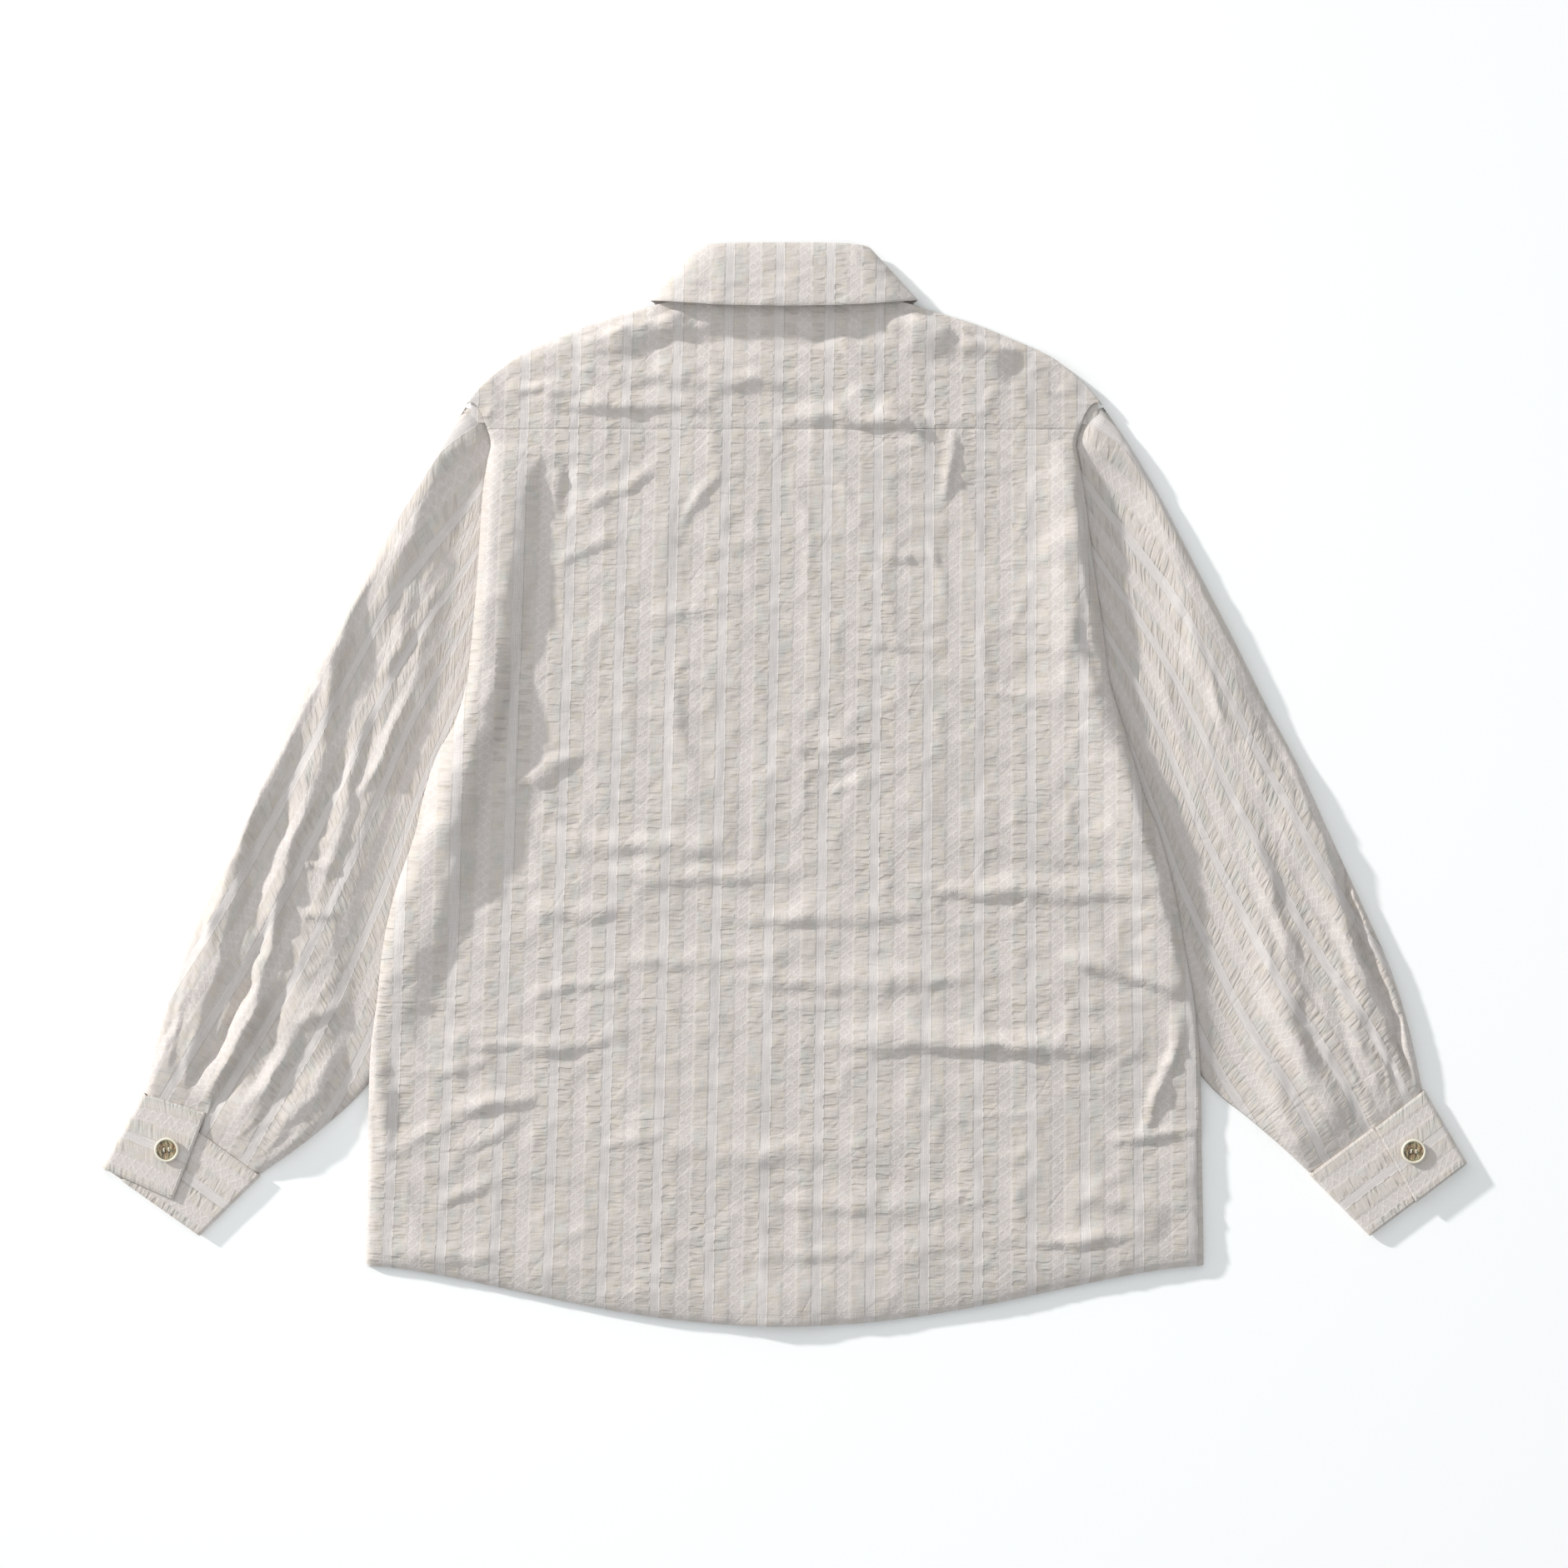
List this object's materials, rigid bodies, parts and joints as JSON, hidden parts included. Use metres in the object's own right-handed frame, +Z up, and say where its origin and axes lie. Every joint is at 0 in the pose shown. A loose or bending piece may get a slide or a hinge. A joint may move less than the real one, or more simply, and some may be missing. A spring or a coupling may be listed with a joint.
{
  "type": "overshirt",
  "caption": "Loose long-sleeved overshirt laid flat on its front, with fold-over collar, back yoke, curved hem, pleated sleeves and buttoned cuffs",
  "frame": {"origin": "middle of the lowest plane of the whole garment's box, on the surface that it lies on", "axes": "+X to the wearer's right, which is the right of the picture seen from the back; +Y from the hem to the collar; +Z up, away from the surface"},
  "size_m": [0.9814, 0.7784, 0.0206],
  "materials": {
    "body_cloth": "light oatmeal woven stripe, matte",
    "sleeve_cloth": "light oatmeal woven stripe, matte",
    "collar_cloth": "light oatmeal woven stripe, matte",
    "cuff_cloth": "light oatmeal woven stripe, matte",
    "button_horn": "mottled brown horn with a cream rim, half gloss"
  },
  "bodies": {
    "root": {"back": "body_cloth", "yoke": "body_cloth", "front_left": "body_cloth", "front_right": "body_cloth", "sleeve_left": "sleeve_cloth", "sleeve_right": "sleeve_cloth", "cuff_left": "cuff_cloth", "cuff_right": "cuff_cloth", "collar_leaf": "collar_cloth", "collar_stand": "collar_cloth", "cuff_button_left": "button_horn", "cuff_button_right": "button_horn", "front_button_1": "button_horn", "front_button_2": "button_horn", "front_button_3": "button_horn", "front_button_4": "button_horn", "front_button_5": "button_horn", "front_button_6": "button_horn"}
  },
  "joints": []
}
